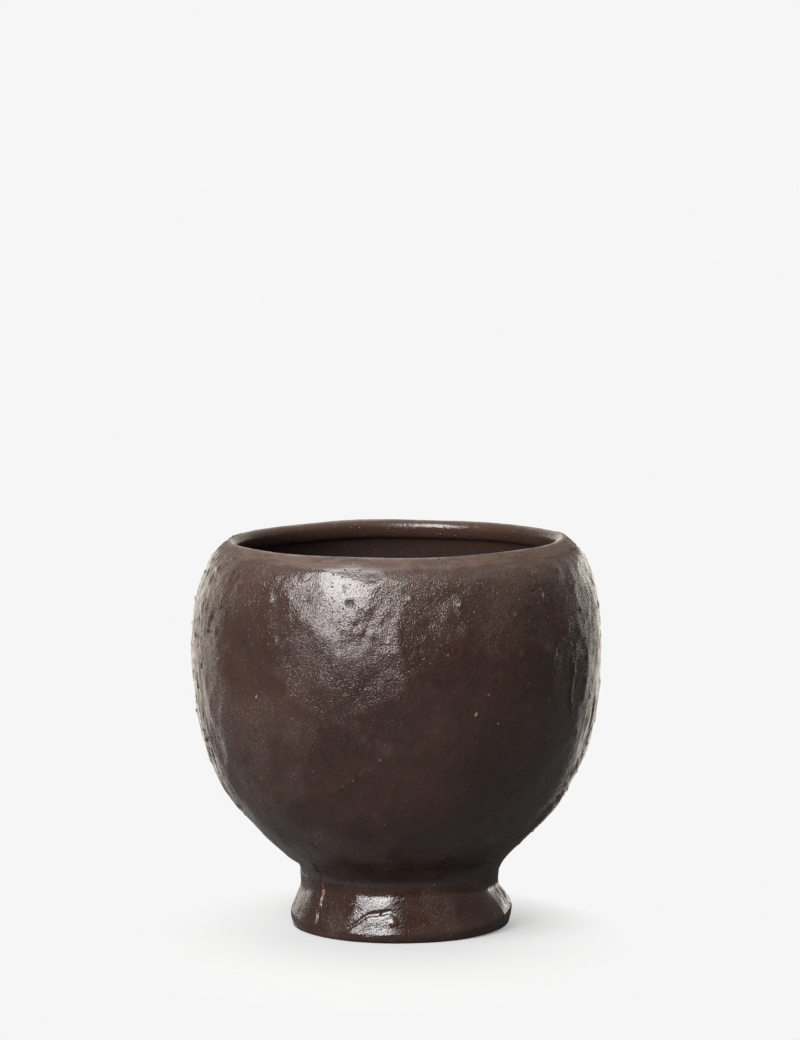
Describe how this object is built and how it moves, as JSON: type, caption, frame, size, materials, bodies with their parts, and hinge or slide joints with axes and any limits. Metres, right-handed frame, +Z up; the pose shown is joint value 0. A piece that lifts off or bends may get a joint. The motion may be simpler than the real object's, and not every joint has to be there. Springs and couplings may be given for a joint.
{
  "type": "footed stoneware cup",
  "caption": "Round-bellied stoneware cup with a rolled lip and a flared foot ring, hand formed, brown glazed, without a handle.",
  "frame": {"origin": "middle of the ring that the cup stands on, at the height of the table", "axes": "+Z up along the cup's axis, and -Y towards the side that the picture shows"},
  "size_m": [0.09, 0.0898, 0.0858],
  "materials": {
    "brown_glaze": "satin dark brown glaze over coarse stoneware, with an orange-peel grain",
    "glazed_slip": "thin brown glaze over slip, darker in the crease under the bowl",
    "lip_glaze": "satin glaze, thinner and lighter brown over the rounded lip"
  },
  "bodies": {
    "root": {"foot_ring": "brown_glaze", "slip_collar": "glazed_slip", "bowl": "brown_glaze", "rim_coil": "lip_glaze"}
  },
  "joints": []
}
